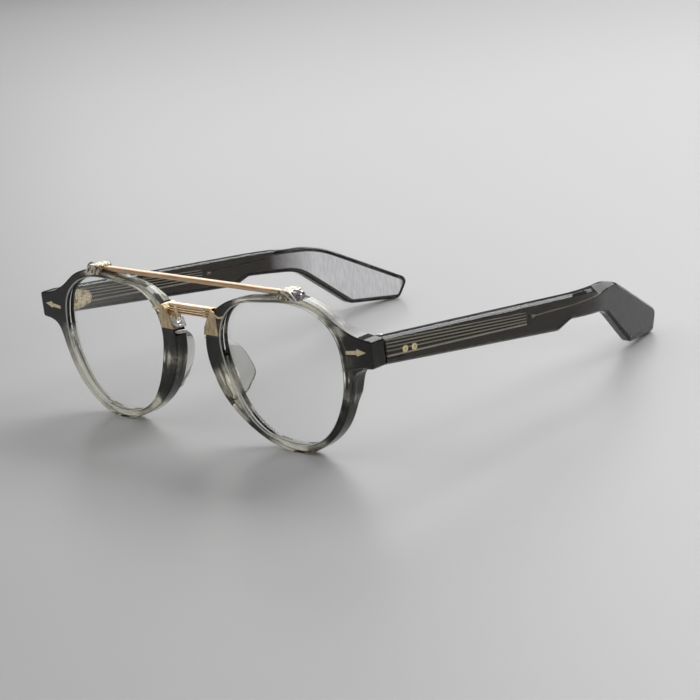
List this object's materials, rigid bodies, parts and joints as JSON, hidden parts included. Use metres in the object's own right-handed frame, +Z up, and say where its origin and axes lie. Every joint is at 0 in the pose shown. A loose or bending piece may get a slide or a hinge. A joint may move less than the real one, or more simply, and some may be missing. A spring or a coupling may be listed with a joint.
{
  "type": "double bridge spectacle frame",
  "caption": "Translucent acetate spectacle frame with clear lenses, a metal bridge, a straight top bar and folding temples.",
  "frame": {"origin": "middle of the open spectacles, on the floor they stand on", "axes": "+X to the wearer's left, -Y the way the front faces, +Z up"},
  "size_m": [0.144, 0.1411, 0.0472],
  "materials": {
    "rim_acetate": "polished, translucent smoky grey",
    "pad_acetate": "polished, translucent",
    "temple_acetate": "polished, nearly black",
    "lens": "clear demonstration lens",
    "gold_metal": "pale gold, polished",
    "hinge_metal": "pale gold, satin",
    "steel": "polished"
  },
  "bodies": {
    "front": {"bridge": "gold_metal", "left_bar_pin": "gold_metal", "left_bracket": "gold_metal", "left_bridge_shoe": "gold_metal", "left_cap_screw": "steel", "left_front_hinge": "hinge_metal", "left_hinge_pin": "steel", "left_inlay": "gold_metal", "left_lens": "lens", "left_nose_pad": "pad_acetate", "left_rim": "rim_acetate", "left_shoe_screw": "gold_metal", "right_bar_pin": "gold_metal", "right_bracket": "gold_metal", "right_bridge_shoe": "gold_metal", "right_cap_screw": "steel", "right_front_hinge": "hinge_metal", "right_hinge_pin": "steel", "right_inlay": "gold_metal", "right_lens": "lens", "right_nose_pad": "pad_acetate", "right_rim": "rim_acetate", "right_shoe_screw": "gold_metal", "top_bar": "gold_metal"},
    "left_temple": {"left_back_rivet": "gold_metal", "left_core": "gold_metal", "left_front_rivet": "gold_metal", "left_shield": "hinge_metal", "left_temple": "temple_acetate"},
    "right_temple": {"right_back_rivet": "gold_metal", "right_core": "gold_metal", "right_front_rivet": "gold_metal", "right_shield": "hinge_metal", "right_temple": "temple_acetate"}
  },
  "joints": [
    {"name": "left_hinge", "type": "hinge", "parent": "front", "child": "left_temple", "pos_m": [0.06639, -0.05968, 0.0314], "axis": [0, 0, 1], "range_deg": [0, 84]},
    {"name": "right_hinge", "type": "hinge", "parent": "front", "child": "right_temple", "pos_m": [-0.06639, -0.05968, 0.0314], "axis": [0, 0, -1], "range_deg": [0, 74]}
  ]
}
